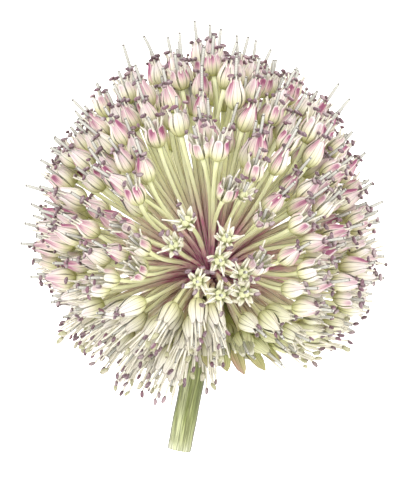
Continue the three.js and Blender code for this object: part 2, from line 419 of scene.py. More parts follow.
def tubes(paths, radii, sides, depth=0.0, **values):
    """Bars along paths of shape (bars, steps, 3), shut at both ends. Their flanks, as seen from above, have
    grooves whose depth is a share of the radius."""
    bars, steps = paths.shape[:2]
    ahead = unit(np.gradient(paths, axis=1))
    normal = np.empty_like(paths)
    last = np.where(np.abs(ahead[:, 0, 2:]) < NEARLY_UPRIGHT, SKY, UP)
    for i in range(steps):
        last = unit(last - ahead[:, i] * np.sum(last * ahead[:, i], -1, keepdims=True))
        normal[:, i] = last
    other = np.cross(ahead, normal)
    angle = pi / 2 + angles_round(sides)
    groove = (np.arange(sides) % (sides // 2) == 0).astype(float)
    radii = np.broadcast_to(radii, (bars, steps))[..., None] * (1 - depth * groove)
    ring = paths[:, :, None] + radii[..., None] * (
        normal[:, :, None] * np.cos(angle)[:, None] + other[:, :, None] * np.sin(angle)[:, None]
    )
    points = np.concatenate([ring.reshape(bars, -1, 3), paths[:, :1], paths[:, -1:]], 1)
    faces = [repeated(f, c, bars, points.shape[1]) for f, c in closed_body(steps, sides)]
    made = {
        "along": np.concatenate([np.repeat(np.linspace(0, 1, steps), sides), [0, 1]]),
        "flank": np.concatenate([np.tile(np.abs(np.sin(angle)), steps), [0, 0]]),
    }
    for name, value in values.items():
        value = np.broadcast_to(value.reshape(bars, -1), (bars, steps))
        made[name] = np.concatenate([np.repeat(value, sides, axis=1), value[:, :1], value[:, -1:]], 1)
    return Chunk(pressed(points), faces, bars, **made)


CELL_MARGIN = 0.05


def lay_in_cells(mesh, charts, cells, cell_ratio):
    """A UV map with one cell of the square for each part of the piece, for the baked colours"""
    columns = ceil(sqrt(cells * cell_ratio))
    rows = ceil(cells / columns)
    cell = np.round(charts[:, 0])
    inner = CELL_MARGIN + (1 - 2 * CELL_MARGIN) * charts[:, 1:]
    uv = np.stack([(cell % columns + inner[:, 0]) / columns, (cell // columns + inner[:, 1]) / rows], -1)
    layer = mesh.uv_layers.new(name="OFBake")
    layer.uv.foreach_set("vector", uv.astype(np.float32).reshape(-1))


def link(name, data):
    made = bpy.data.objects.new(name, data)
    bpy.context.scene.collection.objects.link(made)
    return made


def make_piece(name, chunks, material, cell_ratio=1.0, node="flower_head"):
    """One Blender object from its chunks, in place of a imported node, with UV cells about cell_ratio times as
    high as wide"""
    starts = np.cumsum([0] + [len(c.points) for c in chunks])
    first_cells = np.cumsum([0] + [c.cells for c in chunks])
    points = np.concatenate([c.points for c in chunks])
    corners, sizes, charts = [], [], []
    for chunk, start, first_cell in zip(chunks, starts, first_cells):
        for faces, chart in chunk.faces:
            corners.append((faces + start).reshape(-1))
            sizes.append(np.full(len(faces), faces.shape[1]))
            charts.append((chart + [first_cell, 0, 0]).reshape(-1, 3))
    corners, sizes, charts = (np.concatenate(part) for part in (corners, sizes, charts))
    mesh = bpy.data.meshes.new(name)
    mesh.vertices.add(len(points))
    mesh.vertices.foreach_set("co", (points * MM).astype(np.float32).reshape(-1))
    mesh.loops.add(len(corners))
    mesh.loops.foreach_set("vertex_index", corners.astype(np.int32))
    mesh.polygons.add(len(sizes))
    mesh.polygons.foreach_set("loop_start", (np.cumsum(sizes) - sizes).astype(np.int32))
    for value in chunks[0].values:
        attribute = mesh.attributes.new(value, "FLOAT", "POINT")
        together = np.concatenate([c.values[value] for c in chunks])
        attribute.data.foreach_set("value", together.astype(np.float32))
    lay_in_cells(mesh, charts, first_cells[-1], cell_ratio)
    mesh.polygons.foreach_set("use_smooth", np.ones(len(sizes), bool))
    mesh.update(calc_edges=True)
    mesh.materials.append(material)
    piece = link(name, mesh)
    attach(piece, "root")
    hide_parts(node)


def srgb(red, green, blue):
    """A colour as it looks on a screen, 0 to 255, as a shader's linear one"""
    linear = [((c / 255 + 0.055) / 1.055) ** 2.4 if c > 10 else c / 255 / 12.92 for c in (red, green, blue)]
    return (*linear, 1.0)


class Shader:
    """A material with a Principled shader, painted one wash over another. Colours are as srgb takes them."""

    def __init__(self, name, roughness, specular=0.3):
        self.material = bpy.data.materials.new(name)
        self.material.use_nodes = True
        self.tree = self.material.node_tree
        self.principled = self.tree.nodes["Principled BSDF"]
        self.principled.inputs["Roughness"].default_value = roughness
        self.principled.inputs["Specular IOR Level"].default_value = specular
        self.colour = None

    def feed(self, socket, value):
        """Gives a socket another one's output, a colour or a number"""
        if isinstance(value, bpy.types.NodeSocket):
            self.tree.links.new(value, socket)
        else:
            socket.default_value = srgb(*value) if isinstance(value, tuple) else value

    def node(self, kind, *given):
        """A node with its first sockets fed"""
        node = self.tree.nodes.new("ShaderNode" + kind)
        for socket, value in zip(node.inputs, given):
            self.feed(socket, value)
        return node

    def value(self, name):
        """One of the values that a chunk carries"""
        node = self.node("Attribute")
        node.attribute_name = name
        return node.outputs["Fac"]

    def values(self, *names):
        return [self.value(name) for name in names]

    def maths(self, operation, *given):
        node = self.node("Math", *given)
        node.operation = operation
        return node.outputs[0]

    def times(self, *values):
        product = values[0]
        for value in values[1:]:
            product = self.maths("MULTIPLY", product, value)
        return product

    def less(self, first, second):
        return self.maths("SUBTRACT", first, second)

    def step(self, value, low, high, to_low=0.0, to_high=1.0):
        """From to_low where the value is low to to_high where it is high, flat at both ends"""
        node = self.node("MapRange", value, low, high, to_low, to_high)
        node.interpolation_type = "SMOOTHSTEP"
        return node.outputs[0]

    def mix(self, share, first, second):
        node = self.node("Mix", share)
        node.data_type = "RGBA"
        colour_a, colour_b, mixture = node.inputs[6], node.inputs[7], node.outputs[2]
        self.feed(colour_a, first)
        self.feed(colour_b, second)
        return mixture

    def paint(self, share, colour):
        """Lays a colour over what is painted so far"""
        self.colour = self.mix(share, self.colour, colour)

    def ramp(self, value, stops):
        node = self.node("ValToRGB", value)
        elements = node.color_ramp.elements
        while len(elements) < len(stops):
            elements.new(0.5)
        for element, (place, colour) in zip(elements, stops):
            element.position = place
            element.color = srgb(*colour)
        return node.outputs[0]

    def vector(self, x, y, z):
        return self.node("CombineXYZ", x, y, z).outputs[0]

    def noise(self, vector, scale, detail=2.0):
        node = self.node("TexNoise", vector)
        node.inputs["Scale"].default_value = scale
        node.inputs["Detail"].default_value = detail
        return node.outputs["Fac"]

    def place(self):
        return self.node("TexCoord").outputs["Object"]

    def finish(self, height=None, distance=0.0001, strength=0.5):
        """The finished material, raised where height is high, by a distance in metres"""
        self.feed(self.principled.inputs["Base Color"], self.colour)
        if height is not None:
            bump = self.node("Bump")
            bump.inputs["Distance"].default_value = distance
            bump.inputs["Strength"].default_value = strength
            self.feed(bump.inputs["Height"], height)
            self.feed(self.principled.inputs["Normal"], bump.outputs["Normal"])
        return self.material


# The dark of fine lines, and of painted shade along petal margins and the flanks of thin parts
DARK_LINE_AND_SHADE = (82, 66, 56)

# A floret's outline from its stalk to its petal tips, as (radius, height)
PROFILES = {
    "closed": ((0.62, 0.0), (1.35, 0.6), (2.05, 2.1), (1.85, 3.9), (1.15, 5.6), (0.62, 7.0)),
    "cup": ((0.62, 0.0), (1.45, 0.6), (2.2, 2.1), (2.2, 3.6), (1.95, 4.8), (2.15, 5.7)),
    "star": ((0.55, 0.0), (1.1, 0.6), (1.5, 1.3), (2.0, 1.9), (2.5, 2.5), (3.0, 3.0)),
    "nodding": ((0.62, 0.0), (1.45, 0.6), (2.1, 2.1), (2.0, 3.9), (1.65, 5.4), (1.65, 6.7)),
    "bud": ((0.55, 0.0), (1.3, 0.7), (1.85, 2.3), (1.6, 4.0), (0.85, 5.6), (0.25, 6.9)),
}
PETAL_HALF_WIDTH = {"closed": 1.3, "cup": 1.25, "star": 1.0, "nodding": 1.2, "bud": 1.2}
PETALS = 6
PETAL_ROWS = 10
PETAL_COLUMNS = 5
PETAL_THICKNESS = 0.16
PETAL_OVERLAP = 1.3
PETAL_LAYER = 0.07
INNER_LAYER = -0.6  # where the inner three lie, in PETAL_LAYER, with the outer three at 1
LAYER_FLARE = 0.1
TURN_SCATTER = 0.05
FLARE_SCATTER = 0.18
PETAL_LENGTHS = (0.93, 1.05)
NARROWS_FROM = 0.4
LAST_HALF_WIDTH = 0.1
LEAST_BEND = 1.0
KEEL = 0.15
SLICES = 6


def petal_taper(form, v):
    """The share of its width that a petal has at each height: pointed on a star, and round on the others"""
    narrowing = np.clip((v - NARROWS_FROM) / (1 - NARROWS_FROM), 0, 1)
    if form == "star":
        return 1 - 0.9 * narrowing**1.3
    return np.sqrt(np.clip(1 - narrowing**2.2, 0.004, 1))


def petals(floret):
    """A floret's six petals, each a thin closed sheet with a keel, the outer three over the inner three"""
    form = floret["form"]
    outline = spline(PROFILES[form], PETAL_ROWS)
    v = np.linspace(0, 1, PETAL_ROWS)
    u = np.linspace(-1, 1, PETAL_COLUMNS)
    angle = angles_round(PETALS, 0.5) + chance.normal(0, TURN_SCATTER, PETALS)
    layer = np.where(np.arange(PETALS) % 2 == 0, 1.0, INNER_LAYER)
    flare = chance.normal(0, FLARE_SCATTER, PETALS) + LAYER_FLARE * layer
    length = chance.uniform(*PETAL_LENGTHS, PETALS)

    radius = outline[:, 0] + layer[:, None] * PETAL_LAYER + flare[:, None] * v**3
    height = outline[:, 1] * length[:, None]
    sector = PETAL_OVERLAP * radius * pi / PETALS
    widest = PETAL_HALF_WIDTH[form] * petal_taper(form, v)
    half = (np.abs(sector) ** -4 + widest**-4) ** -0.25
    half[:, -1] = LAST_HALF_WIDTH
    bend = np.maximum(radius, LEAST_BEND)[..., None]
    w = u * half[..., None]
    sideways = bend * np.sin(w / bend)
    out = radius[..., None] - bend * (1 - np.cos(w / bend))
    out = out + KEEL * (1 - np.abs(u)) ** 1.5 * np.sin(pi * v)[:, None]
    turn_cos = np.cos(angle)[:, None, None]
    turn_sin = np.sin(angle)[:, None, None]
    local = np.stack([
        out * turn_cos - sideways * turn_sin,
        out * turn_sin + sideways * turn_cos,
        np.broadcast_to(height[..., None], out.shape),
    ], -1) * floret["size"]
    normal = unit(np.cross(np.gradient(local, axis=2), np.gradient(local, axis=1)))
    edge = np.sqrt(1 - u**2) * np.sqrt(np.clip(np.sin(pi * v), 0, 1))[:, None]
    swell = normal * (PETAL_THICKNESS / 2 * edge)[..., None]
    sheets = np.stack([local + swell, local - swell], 1)

    each_petal = (PETALS, 1, 1, 1)
    return Chunk(
        pressed(on_floret(floret, sheets)),
        thin_sheets(PETAL_ROWS, PETAL_COLUMNS, PETALS),
        PETALS * 2,
        along=v[:, None],
        across=u,
        inside=np.array([0.0, 1.0])[:, None, None],
        flush=floret["flush"] * (0.25 + 1.6 * chance.uniform(0, 1, each_petal) ** 2),
        luck=chance.uniform(0, 1, each_petal),
        green=floret["green"],
        drab=floret["drab"],
        opened=float(form in ("cup", "star")),
    )


def petal_material():
    """Yellow-green, then cream, with pink and magenta along the keel towards the tip, fine dark lines, a dark
    midrib and tips, painted shade along the margins where the petals overlap, and painted shade that dulls
    some florets
    """
    s = Shader("petal", roughness=0.6)
    along, sideways, flush, green = s.values("along", "across", "flush", "green")
    inside, opened = s.values("inside", "opened")
    across = s.maths("ABSOLUTE", sideways)
    grain = s.vector(s.times(sideways, 5.0), s.times(along, 1.2), s.times(s.value("luck"), 40.0))
    streak = s.noise(grain, scale=1.6, detail=3.0)
    s.colour = s.ramp(along, [(0.0, (162, 168, 110)), (0.15, (196, 199, 134)), (0.35, (217, 216, 172)),
                              (0.55, (226, 225, 202)), (0.75, (229, 228, 221)), (1.0, (230, 224, 222))])
    lime = s.ramp(along, [(0.0, (150, 158, 94)), (0.35, (194, 197, 134)), (0.7, (218, 217, 174)),
                          (1.0, (218, 216, 178))])
    dull, dull_green = (186, 174, 154), (140, 148, 70)
    cream = s.ramp(along, [(0.0, (214, 220, 160)), (0.4, (236, 235, 206)), (1.0, (240, 237, 226))])
    s.paint(green, lime)
    # Painted shade, dulling and darkening the petals of nodding, bare and low florets
    s.paint(s.times(s.value("drab"), 0.35), s.mix(green, dull, dull_green))
    s.paint(s.times(inside, opened, 0.85), cream)

    risen = s.maths("ADD", along, s.times(s.less(streak, 0.5), 0.7))
    outside = s.less(1.0, s.times(inside, 0.75))
    below_tip = s.less(1.0, s.times(opened, s.step(along, 0.78, 0.98)))
    pink = s.times(s.step(risen, 0.3, 0.72), flush, s.step(across, 0.5, 1.0, 1.0, 0.3), outside, below_tip)
    deep = s.times(s.step(risen, 0.44, 0.82), flush, s.step(across, 0.3, 0.95, 1.0, 0.0), outside, below_tip)
    pink_wash, magenta, vein_brown = (218, 172, 182), (136, 60, 100), (138, 116, 86)
    s.paint(s.maths("MINIMUM", pink, 0.8), pink_wash)
    s.paint(s.maths("MINIMUM", deep, 0.95), magenta)
    s.paint(s.step(streak, 0.34, 0.5, 0.34, 0.0), vein_brown)
    # A dark midrib and dark tips, and painted shade along the margins, where the petals overlap
    midrib = s.times(s.step(across, 0.0, 0.1, 0.5, 0.0), s.step(along, 0.1, 0.4))
    margin_shade = s.times(s.step(across, 0.84, 0.98, 0.0, 0.85), s.step(along, 0.03, 0.15))
    tip = s.step(along, 0.93, 1.0, 0.0, 0.6)
    s.paint(s.maths("MAXIMUM", s.maths("MAXIMUM", midrib, margin_shade), tip), DARK_LINE_AND_SHADE)
    return s.finish(streak, distance=0.00012)


def slice_of(floret):
    """The number of the slice round the head's own axis that holds this floret"""
    angle = atan2(floret["direction"][2], floret["direction"][0]) + pi
    return int(angle / FULL_TURN * SLICES) % SLICES


def petal_pieces(florets):
    material = petal_material()
    for number in range(SLICES):
        members = [petals(f) for f in florets if slice_of(f) == number]
        make_piece(f"petals_{number + 1}", members, material, cell_ratio=0.6)


STALK_STEPS = 16
STALK_SIDES = 8
STALK_RADIUS = 0.54
STALK_GROOVE = 0.06
STALK_SUNK = 1.5
STALK_SUNK_IN_FLORET = 0.5
STALK_BENDS = 0.02


def stalks(florets):
    """Every stalk, from the receptacle out along its first rise, and then round into its floret"""
    direction, facing, base, size = (
        np.array([f[key] for f in florets]) for key in ("direction", "facing", "base", "size")
    )
    rise = unit(direction + ARCH * UP)
    foot = HUB + rise * (ROOT_RADIUS - STALK_SUNK)
    reach = np.linalg.norm(base - foot, axis=1, keepdims=True)
    bend = chance.normal(0, STALK_BENDS, base.shape) * reach
    foot_pull = foot + rise * reach * 0.4 + bend
    base_pull = base - facing * reach * 0.3 + bend
    paths = curve_between(foot, foot_pull, base + facing * STALK_SUNK_IN_FLORET, base_pull, STALK_STEPS)
    share = np.linspace(0, 1, STALK_STEPS)
    swell = 0.85 + 0.15 * smoothstep(share, 0, 0.5) + 0.25 * smoothstep(share, 0.86, 1.0)
    return tubes(
        paths,
        STALK_RADIUS * swell * size[:, None],
        STALK_SIDES,
        depth=STALK_GROOVE,
        from_hub=np.linalg.norm(paths - HUB, axis=-1),
        lower=np.clip(-direction[:, 1] + 0.1, 0, 1),
        front=np.clip(direction[:, 2], 0, 1),
        luck=chance.uniform(0, 1, len(florets)),
    )


def stalk_material():
    """Magenta at the receptacle, then rose, cream and yellow-green, with pale fibres, painted shade along the
    flanks as seen from above, and painted shade on the stalks that face the sky
    """
    s = Shader("stalk", roughness=0.55)
    flank, luck = s.values("flank", "luck")
    share = s.maths("DIVIDE", s.value("from_hub"), 50.0)
    shifted = s.maths("ADD", share, s.times(s.less(luck, 0.5), 0.1))
    s.colour = s.ramp(shifted, [(0.0, (150, 40, 112)), (0.18, (196, 80, 150)), (0.3, (218, 144, 172)),
                                (0.42, (238, 218, 200)), (0.55, (246, 245, 204)), (1.0, (240, 246, 190))])
    under = s.ramp(shifted, [(0.0, (116, 46, 80)), (0.2, (166, 112, 114)), (0.42, (214, 206, 160)),
                             (1.0, (226, 230, 170))])
    pale_fibre, sky_facing_shade_green, stalk_flank_shade = (250, 250, 222), (180, 182, 116), (102, 82, 60)
    grain = s.vector(s.times(flank, 1.2), s.times(share, 5.0), s.times(luck, 60.0))
    fibre = s.noise(grain, scale=2.2, detail=3.0)
    s.paint(s.step(s.value("lower"), 0.2, 0.55), under)
    s.paint(s.step(fibre, 0.38, 0.6, 0.0, 0.6), pale_fibre)
    # Painted shade: the stalks at the front, which face the sky and the lamps, are darkened away from the hub
    sky_facing_shade = s.step(s.value("front"), 0.3, 0.8, 0.0, 0.34)
    s.paint(s.times(sky_facing_shade, s.step(shifted, 0.3, 0.5)), sky_facing_shade_green)
    # Painted shade along the flanks, as seen from above
    s.paint(s.step(flank, 0.78, 0.92, 0.0, 0.7), stalk_flank_shade)
    return s.finish(fibre, distance=0.0001, strength=0.4)


# Where the anthers stand on each form: least and most distance from the axis, and height over the petal tips
STAMEN_ENDS = {
    "closed": ((0.4, 1.5), (-0.3, 1.5)),
    "cup": ((1.6, 3.3), (0.2, 2.4)),
    "star": ((2.2, 4.2), (0.2, 2.0)),
    "nodding": ((0.6, 2.6), (1.6, 5.8)),
    "bud": ((0.5, 2.6), (1.2, 6.2)),
}
STAMENS = 6
STAMEN_SCATTER = 0.25
FILAMENT_FOOT = (0.9, 1.5)
FILAMENT_RADIUS = 0.27
FILAMENT_TAPER = (1.15, 0.75)
FILAMENT_STEPS = 6
FILAMENT_SIDES = 6
IN_LINE = 1.8
ANTHER_SIZE = np.array([0.9, 0.52, 0.46])
ANTHER_SIZES = (0.8, 1.15)
ANTHER_CURVE = 0.12
FLATTENED_BACK = 0.78
UNRIPE_LARGER = 0.22


def stamens_of(floret):
    """The filaments' paths and the ways that the anthers lie"""
    form = floret["form"]
    (near, far), (low, high) = STAMEN_ENDS[form]
    mouth = np.array(PROFILES[form])[-2]
    angle = angles_round(STAMENS, 0.5) + chance.normal(0, STAMEN_SCATTER, STAMENS)
    out = np.stack([np.cos(angle), np.sin(angle), np.zeros(STAMENS)], -1)
    axis = np.array([0.0, 0.0, 1.0])
    tips = FORMS[form]["tips"]
    size = floret["size"]
    away = chance.uniform(near, far, (STAMENS, 1))
    end = out * away + axis * (tips + chance.uniform(low, high, (STAMENS, 1)))
    start = out * FILAMENT_FOOT[0] + axis * FILAMENT_FOOT[1]
    pull = out * mouth[0] * 0.7 + axis * mouth[1] * 0.8
    end_pull = pull * 0.4 + end * 0.6
    paths = curve_between(start * size, pull * size, end * size, end_pull * size, FILAMENT_STEPS)
    ahead = unit(paths[:, -1] - paths[:, -2])
    lying = unit(np.cross(ahead, chance.normal(0, 1, (STAMENS, 3))))
    lying = unit(lying + IN_LINE * floret["hang"] * ahead)
    return on_floret(floret, paths), lying @ floret["axes"]


def anthers(places, lying, luck, raw):
    """Bent oval bodies with a flat back, each across its filament's end or hanging in line with it"""
    sides, rings = 8, 4
    points = ellipsoid(sides, rings)
    shaped = points * ANTHER_SIZE
    shaped[:, 1] *= np.where(points[:, 1] > 0.5, FLATTENED_BACK, 1.0)
    shaped[:, 2] += ANTHER_CURVE * shaped[:, 0] ** 2
    first = unit(lying)
    second = unit(np.cross(first, chance.normal(0, 1, first.shape)))
    third = np.cross(first, second)
    size = chance.uniform(*ANTHER_SIZES, (len(places), 1, 1)) * (1 + UNRIPE_LARGER * raw[:, None, None])
    axes = np.stack([first, second, third], 1)
    made = places[:, None] + (shaped[None] * size) @ axes
    return Chunk(
        pressed(made),
        [repeated(f, c, len(places), len(points)) for f, c in closed_body(rings, sides)],
        len(places),
        along=points[:, 0] * 0.5 + 0.5,
        luck=luck[:, None],
        raw=raw[:, None],
        back=points[:, 1],
    )


def filament_material():
    """Cream and streaked, duller outside the floret, with painted shade along each flank as seen from above"""
    s = Shader("filament", roughness=0.55)
    flank, along = s.values("flank", "along")
    streak = s.noise(s.vector(flank, s.times(along, 6.0), s.value("luck")), scale=2.0)
    outer = s.step(along, 0.5, 0.8)
    cream, streak_grey = (240, 236, 222), (220, 212, 194)
    outer_grey, filament_flank_shade = (212, 207, 190), (100, 86, 70)
    s.colour = cream
    s.paint(s.step(streak, 0.35, 0.65, 0.0, 0.5), streak_grey)
    s.paint(outer, outer_grey)
    # Painted shade along each flank, as seen from above, stronger outside the floret
    s.paint(s.times(s.step(flank, 0.65, 0.85), s.maths("ADD", 0.3, s.times(outer, 0.4))), filament_flank_shade)
    return s.finish(streak, distance=0.00006, strength=0.4)


def anther_material():
    """Dark purple-brown with a paler grain, a painted highlight along the back, dark ends, and greenish where
    unripe
    """
    s = Shader("anther", roughness=0.4)
    grain = s.noise(s.place(), scale=2600.0, detail=3.0)
    rough = s.step(grain, 0.35, 0.65)
    dark, light, reddish, pale_back_highlight = (84, 63, 70), (133, 110, 117), (122, 80, 95), (204, 192, 188)
    raw_dark, raw_light = (150, 148, 116), (180, 177, 146)
    s.colour = s.mix(rough, dark, light)
    s.paint(s.step(s.value("luck"), 0.55, 0.95, 0.0, 0.6), reddish)
    s.paint(s.value("raw"), s.mix(rough, raw_dark, raw_light))
    # A painted highlight along the back
    s.paint(s.step(s.value("back"), 0.2, 0.9, 0.0, 0.35), pale_back_highlight)
    ends = s.maths("ABSOLUTE", s.less(s.value("along"), 0.5))
    s.paint(s.step(ends, 0.3, 0.48, 0.0, 0.7), DARK_LINE_AND_SHADE)
    return s.finish(grain, distance=0.00008, strength=0.6)


def stamen_pieces(florets):
    """The filaments, and the anthers on those that have kept theirs"""
    stamens = [stamens_of(f) for f in florets]
    paths, lying = (np.concatenate(part) for part in zip(*stamens))
    luck, raw, kept, hang = (
        np.repeat([f[key] for f in florets], STAMENS) for key in ("luck", "raw", "kept", "hang")
    )
    radii = FILAMENT_RADIUS * np.linspace(*FILAMENT_TAPER, FILAMENT_STEPS)
    filaments = tubes(paths, radii, FILAMENT_SIDES, luck=luck)
    make_piece("filaments", [filaments], filament_material(), cell_ratio=4.0)
    on = chance.uniform(0, 1, len(lying)) < kept
    anther_luck = chance.uniform(0, 1, np.sum(on))
    unripe = chance.uniform(0, 1, np.sum(on)) < raw[on]
    below_end = lying[on] * hang[on][:, None] * ANTHER_SIZE[0] * 0.7
    chunk = anthers(paths[on, -1] + below_end, lying[on], anther_luck, unripe)
    make_piece("anthers", [chunk], anther_material())


STYLE_STEPS = 9
STYLE_SIDES = 8
STYLE_RADIUS = 0.38
STYLE_TIP = 0.8
STYLE_LEAN = 0.35
STYLE_FOOT = 2.4
OVARY_RADIUS = 1.2
OVARY_HEIGHT = 1.9
OVARY_LOBES = 3
SEAM_RADIUS = 0.76


def style_of(floret):
    """The style's path, from the ovary out past the petal tips"""
    tips = FORMS[floret["form"]]["tips"]
    size = floret["size"]
    end = np.array([[*chance.normal(0, STYLE_LEAN, 2), (tips + floret["style"]) / size]])
    start = np.array([[0.0, 0.0, STYLE_FOOT]])
    low_pull = start * 0.6 + end * [[0, 0, 0.4]]
    high_pull = end * [[0.2, 0.2, 0.7]]
    path = curve_between(start * size, low_pull * size, end * size, high_pull * size, STYLE_STEPS)
    return on_floret(floret, path[0])


def ovary(floret):
    """Three rounded lobes round the foot of the style"""
    sides, rings = 18, 7
    points = ellipsoid(sides, rings)
    angle = np.arctan2(points[:, 2], points[:, 1])
    lobe = np.abs(np.cos(OVARY_LOBES / 2 * angle))
    lobes = mixed(SEAM_RADIUS, 1, lobe)
    height = points[:, 0] * OVARY_RADIUS + OVARY_HEIGHT
    local = np.stack([points[:, 1] * lobes, points[:, 2] * lobes, height / OVARY_RADIUS], -1)
    return Chunk(
        pressed(on_floret(floret, local * OVARY_RADIUS * floret["size"])),
        closed_body(rings, sides),
        1,
        lobe=lobe,
    )


def style_material():
    """Whitish and finely banded, with painted shade along each flank, as seen from above, and a dark ring
    round the tip
    """
    s = Shader("style", roughness=0.55)
    flank, along = s.values("flank", "along")
    band = s.maths("ADD", s.times(along, 26.0), s.times(flank, 0.5))
    wave = s.maths("SINE", s.times(band, FULL_TURN))
    whitish, band_grey, shade_and_tip_grey = (198, 197, 188), (122, 118, 110), (84, 76, 70)
    s.colour = whitish
    s.paint(s.step(wave, -0.2, 0.9, 0.0, 0.4), band_grey)
    tip = s.times(s.step(along, 0.955, 0.97, 0.0, 0.85), s.step(along, 0.985, 0.998, 1.0, 0.0))
    # Painted shade along each flank, as seen from above, and a dark ring round the tip
    line = s.times(s.step(flank, 0.6, 0.82, 0.0, 0.78), s.step(along, 0.99, 1.0, 1.0, 0.3))
    s.paint(s.maths("MAXIMUM", line, tip), shade_and_tip_grey)
    return s.finish(wave, distance=0.00005)


def ovary_material():
    """Pale yellow-green lobes with darker seams between them"""
    s = Shader("ovary", roughness=0.5)
    grain = s.noise(s.place(), scale=1500.0, detail=3.0)
    lobe_green, lobe_pale, seam_green = (192, 197, 142), (216, 217, 182), (120, 122, 66)
    s.colour = s.mix(grain, lobe_green, lobe_pale)
    s.paint(s.step(s.value("lobe"), 0.0, 0.35, 0.75, 0.0), seam_green)
    return s.finish(grain, distance=0.00008)


def style_pieces(florets):
    """The styles, and the ovaries of the florets that are open enough to show them"""
    radii = np.full(STYLE_STEPS, STYLE_RADIUS)
    radii[-1] *= STYLE_TIP
    styles = tubes(np.array([style_of(f) for f in florets]), radii, STYLE_SIDES)
    make_piece("styles", [styles], style_material(), cell_ratio=4.0)
    make_piece("ovaries", [ovary(f) for f in florets if f["form"] != "closed"], ovary_material())


# The bracts at the stem's top: how far each leans from the stem, its turn about it, its length and pinkness
BRACTS = (
    (48, -98, 22.5, 0.1),
    (49, -112, 23.5, 0.1),
    (50, -124, 24.0, 0.8),
    (54, -140, 23.5, 0.2),
    (60, -152, 23.0, 0.3),
    (40, 60, 18.0, 0.2),
    (36, 150, 18.0, 0.2),
)
BRACT_HALF_WIDTH = 2.5
BRACT_THICKNESS = 0.25
BRACT_FOLD = 0.35
BRACT_FOOT = (4.5, 2.4)  # its distance from the hub along the stem, and from the stem's axis


def bract(lean, turn, length, rosy):
    """One pointed green bract, folded a little along its middle, from under the receptacle"""
    rows, columns = 16, 7
    across = unit(np.cross(STEM_DIRECTION, SKY))
    level = turned(across, STEM_DIRECTION, radians(turn))
    heading = STEM_DIRECTION * cos(radians(lean)) + level * sin(radians(lean))
    start = HUB + STEM_DIRECTION * BRACT_FOOT[0] + level * BRACT_FOOT[1]
    end = start + heading * length
    pull = start + STEM_DIRECTION * 1.5 + level * length * 0.25
    path = curve_between([start], [pull], [end], [end - heading * length * 0.4], rows)[0]
    ahead = unit(np.gradient(path, axis=0))
    shown = level + 1.6 * max(0.0, level[2]) * SKY
    side = unit(np.cross(ahead, shown))
    out = np.cross(side, ahead)
    v = np.linspace(0, 1, rows)
    u = np.linspace(-1, 1, columns)
    half = BRACT_HALF_WIDTH * (0.35 + 0.65 * smoothstep(v, 0, 0.6)) * np.sqrt(np.clip(1 - v**3, 0.002, 1))
    fold = BRACT_FOLD * np.abs(u) * half[:, None]
    sheet = path[:, None] + side[:, None] * (u * half[:, None])[..., None] - out[:, None] * fold[..., None]
    thickness = BRACT_THICKNESS / 2 * np.sqrt(1 - u**2) * np.sqrt(np.abs(np.sin(pi * v)))[:, None]
    swell = out[:, None] * thickness[..., None]
    return Chunk(
        pressed(np.stack([sheet + swell, sheet - swell])),
        thin_sheets(rows, columns, 1),
        2,
        along=v[:, None],
        across=u,
        luck=chance.uniform(),
        rosy=rosy,
    )


def bract_material():
    """Yellow-green and veined, with a pinkish point and a dark edge and midrib"""
    s = Shader("bract", roughness=0.55)
    across, along = s.values("across", "along")
    edge = s.maths("ABSOLUTE", across)
    grain = s.vector(s.times(across, 6.0), along, s.times(s.value("luck"), 30.0))
    vein = s.noise(grain, scale=2.0, detail=3.0)
    pinkish, vein_green = (214, 160, 168), (112, 120, 56)
    s.colour = s.ramp(along, [(0.0, (116, 126, 62)), (0.5, (168, 176, 100)), (0.85, (206, 208, 148)),
                              (1.0, (206, 200, 150))])
    rosy = s.times(s.value("rosy"), s.step(along, 0.55, 0.95), s.step(across, -0.4, 0.9, 0.3, 1.0))
    s.paint(rosy, pinkish)
    s.paint(s.step(vein, 0.4, 0.6, 0.5, 0.0), vein_green)
    s.paint(s.maths("MAXIMUM", s.step(edge, 0.86, 0.98, 0.0, 0.85), s.step(edge, 0.0, 0.07, 0.6, 0.0)), DARK_LINE_AND_SHADE)
    return s.finish(vein, distance=0.00015)


RECEPTACLE_RADIUS = 3.9


def receptacle_piece():
    """The lumpy body that all stalks grow from"""
    sides, rings = 28, 14
    points = ellipsoid(sides, rings)
    bumps = 1 + 0.05 * np.sin(points[:, 0] * 9 + points[:, 1] * 7) * np.sin(points[:, 2] * 11)
    chunk = Chunk(HUB + points * RECEPTACLE_RADIUS * bumps[:, None], closed_body(rings, sides), 1)
    s = Shader("receptacle", roughness=0.6)
    grain = s.noise(s.place(), scale=900.0, detail=4.0)
    maroon, brown = (78, 36, 52), (112, 78, 62)
    s.colour = s.mix(grain, maroon, brown)
    make_piece("receptacle", [chunk], s.finish(grain, distance=0.0003, strength=0.6))


STEM_STEPS = 40
STEM_SIDES = 72
STEM_RIBS = 12
STEM_INSET = 0.06
CUT_ROUNDING = 0.15
HOLLOW_DEPTHS = (0.25, 0.35)
HOLLOW_WIDTH = 0.55


